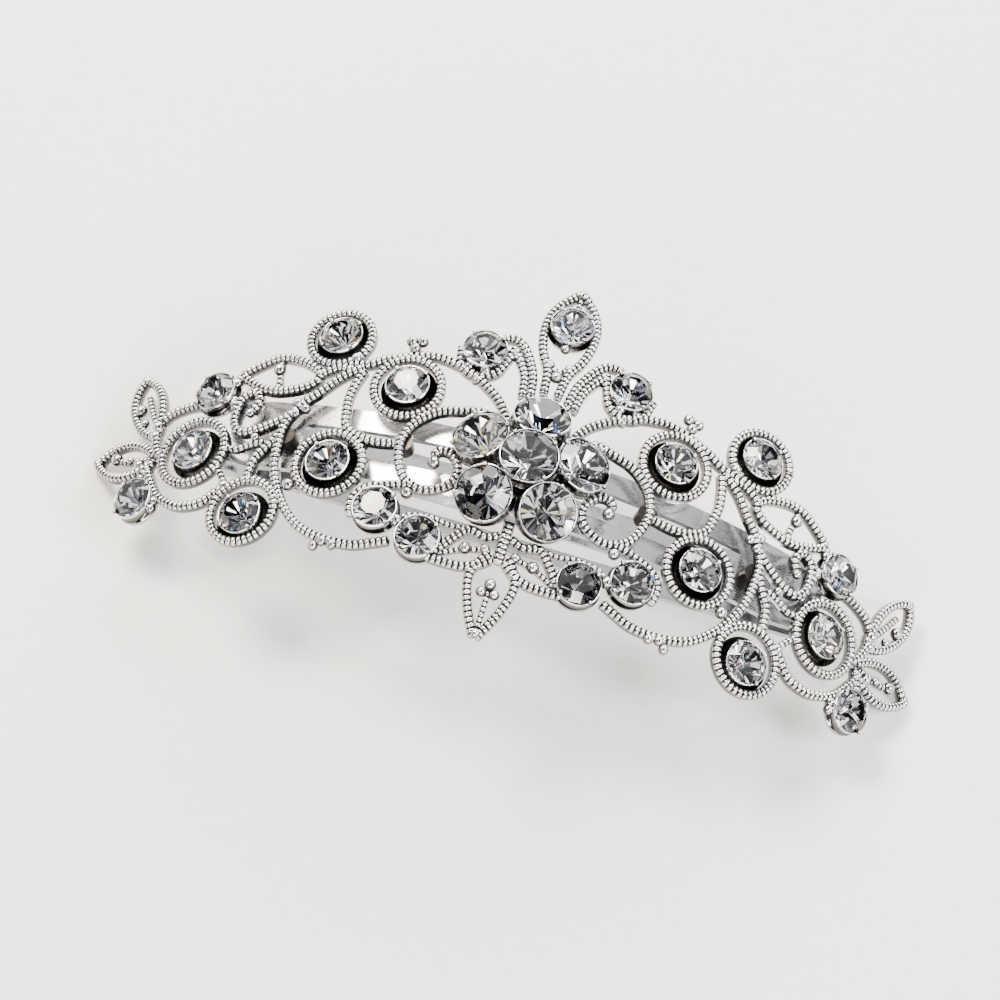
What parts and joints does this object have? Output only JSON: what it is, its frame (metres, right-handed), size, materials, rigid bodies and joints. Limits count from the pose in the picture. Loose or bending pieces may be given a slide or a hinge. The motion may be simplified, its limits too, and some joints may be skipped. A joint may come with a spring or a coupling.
{
  "type": "rhinestone hair clip",
  "caption": "Arched openwork hair barrette of beaded scrolls and leaves set with round crystals around a crystal flower, on a sprung clip with a hinged clasp arm and a two-pronged catch.",
  "frame": {"origin": "middle of the bounding box in X and Y, at the level of the end leaves' lowest tips, which rest on the table", "axes": "+X along the clip towards its catch, +Y up the ornament towards the leaf over the flower, +Z out of the jewelled face; the clip lies face up"},
  "size_m": [0.1128, 0.0534, 0.0291],
  "materials": {
    "plated_casting": "bright silver-coloured plating on cast wirework with beaded ridges and darkened recesses",
    "plated_cups": "polished silver-coloured plating on thin stone cups with bead prongs",
    "steel_strip": "plated stamped strip, satin with fine lengthwise brushing",
    "spring_steel": "plated spring strip, satin and slightly brighter than the base bar",
    "pin_steel": "polished plated pin and rivets",
    "solder": "dull silver solder",
    "crystal": "clear faceted foil-backed crystal"
  },
  "bodies": {
    "clip_frame": {"base_bar": "steel_strip", "tension_bar": "spring_steel", "hinge_pin": "pin_steel", "catch_plate": "steel_strip", "catch_rivets": "pin_steel", "solder_pads": "solder", "left_inner_wing": "plated_casting", "right_inner_wing": "plated_casting", "left_outer_wing": "plated_casting", "right_outer_wing": "plated_casting", "left_tip_leaves": "plated_casting", "right_tip_leaves": "plated_casting", "centre_spray": "plated_casting", "pendant_leaves": "plated_casting", "flower_cups": "plated_cups", "left_cups": "plated_cups", "right_cups": "plated_cups", "leaf_cup": "plated_cups", "crystal_left_tip": "crystal", "crystal_left_curl": "crystal", "crystal_left_swirl": "crystal", "crystal_left_low_ring": "crystal", "crystal_left_upper_ring": "crystal", "crystal_left_mid_ring": "crystal", "crystal_left_inner_ring": "crystal", "crystal_left_lower_outer": "crystal", "crystal_left_lower_inner": "crystal", "crystal_left_spray": "crystal", "crystal_right_tip": "crystal", "crystal_right_curl": "crystal", "crystal_right_swirl": "crystal", "crystal_right_low_ring": "crystal", "crystal_right_upper_ring": "crystal", "crystal_right_mid_ring": "crystal", "crystal_right_inner_ring": "crystal", "crystal_right_lower_outer": "crystal", "crystal_right_lower_inner": "crystal", "crystal_right_spray": "crystal", "crystal_petal_top": "crystal", "crystal_petal_left_upper": "crystal", "crystal_petal_left_lower": "crystal", "crystal_petal_right_lower": "crystal", "crystal_petal_right_upper": "crystal", "crystal_flower_centre": "crystal", "crystal_leaf": "crystal"},
    "clasp_arm": {"clasp_arm": "spring_steel"},
    "catch_prong_front": {"catch_prong_front": "spring_steel"},
    "catch_prong_back": {"catch_prong_back": "spring_steel"}
  },
  "joints": [
    {"name": "clasp_hinge", "type": "hinge", "parent": "clip_frame", "child": "clasp_arm", "pos_m": [-0.0376, -0.00272, 0.00954], "axis": [0, 1, 0], "range_deg": [0, 75]},
    {"name": "prong_front_squeeze", "type": "hinge", "parent": "clip_frame", "child": "catch_prong_front", "pos_m": [0.037, -0.00462, 0.01019], "axis": [1, 0, 0], "range_deg": [0, 13], "stiffness_Nm_per_rad": 0.05},
    {"name": "prong_back_squeeze", "type": "hinge", "parent": "clip_frame", "child": "catch_prong_back", "pos_m": [0.037, -0.00082, 0.01019], "axis": [1, 0, 0], "range_deg": [-13, 0], "stiffness_Nm_per_rad": 0.05}
  ]
}
